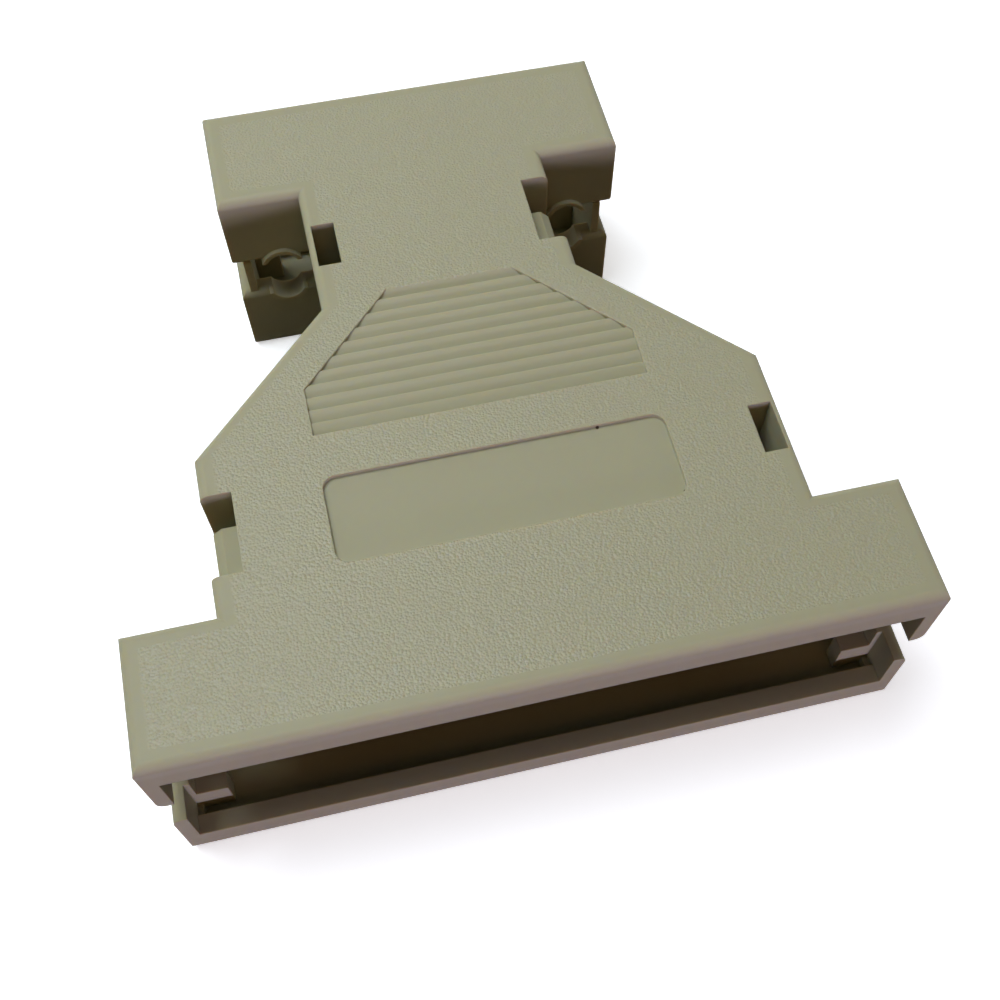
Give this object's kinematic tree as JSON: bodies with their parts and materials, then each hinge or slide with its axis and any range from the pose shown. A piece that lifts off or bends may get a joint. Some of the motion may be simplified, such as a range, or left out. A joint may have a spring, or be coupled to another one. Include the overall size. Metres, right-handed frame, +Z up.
{
  "type": "d-sub hood",
  "caption": "Snap-together plastic adapter hood with a wide connector mouth at one end, a narrow one at the other, ribbed grip and label recess.",
  "frame": {"origin": "middle of the flat bottom, halfway between the two mouths", "axes": "+Y from the wide mouth to the narrow mouth, +X to the right as seen from the wide mouth, +Z up through the ribbed faces"},
  "size_m": [0.0556, 0.0562, 0.0176],
  "materials": {
    "shell_plastic": "moulded beige plastic, fine spark-eroded grain on the flat faces, smooth on edges, ribs and label recess"
  },
  "bodies": {
    "root": {"upper_shell": "shell_plastic", "lower_shell": "shell_plastic"}
  },
  "joints": []
}
